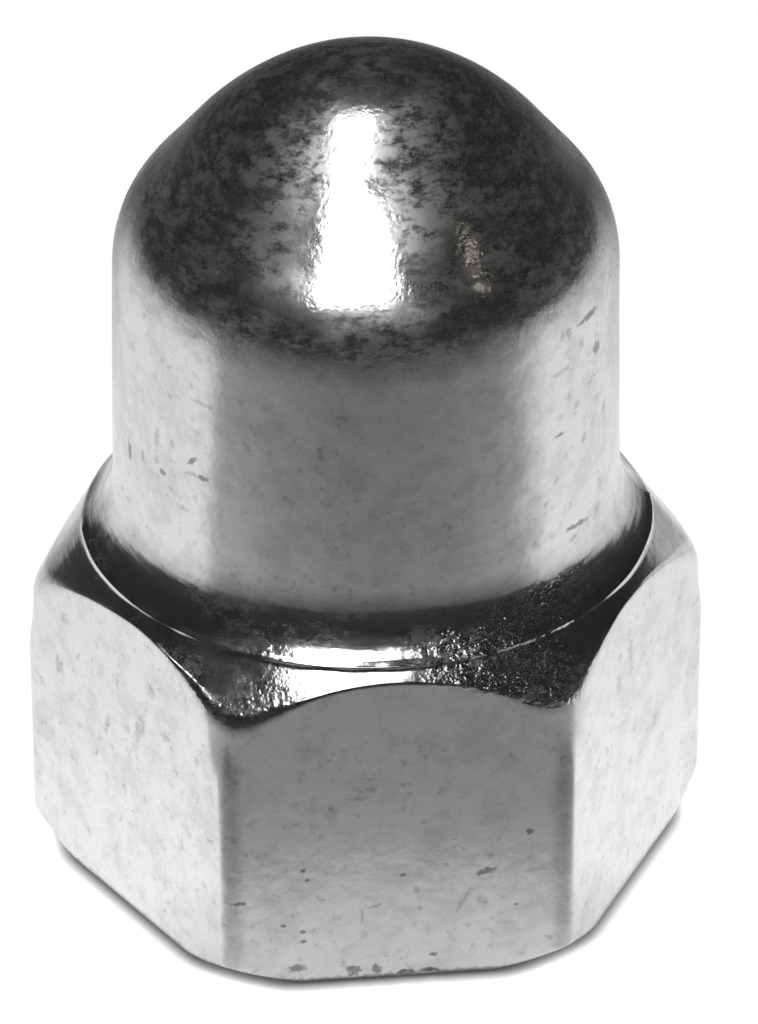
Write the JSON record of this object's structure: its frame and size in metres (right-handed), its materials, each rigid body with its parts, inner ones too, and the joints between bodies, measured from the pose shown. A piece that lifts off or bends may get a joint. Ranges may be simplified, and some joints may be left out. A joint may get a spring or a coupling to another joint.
{
  "type": "wheel nut",
  "caption": "Closed hexagonal wheel nut with a domed barrel, a hollow neck above the chamfered hexagon and a blind threaded hole in its flat bearing face.",
  "frame": {"origin": "centre of the flat bearing face, where the axis of the thread leaves the nut", "axes": "+Z along the axis of the thread towards the dome, -Y square out of one flat of the hexagon, X through two opposite corners"},
  "size_m": [0.0218, 0.019, 0.0279],
  "materials": {
    "bright_plating": "bright plating over forged steel, lightly pitted and scratched"
  },
  "bodies": {
    "root": {"wheel_nut": "bright_plating"}
  },
  "joints": []
}
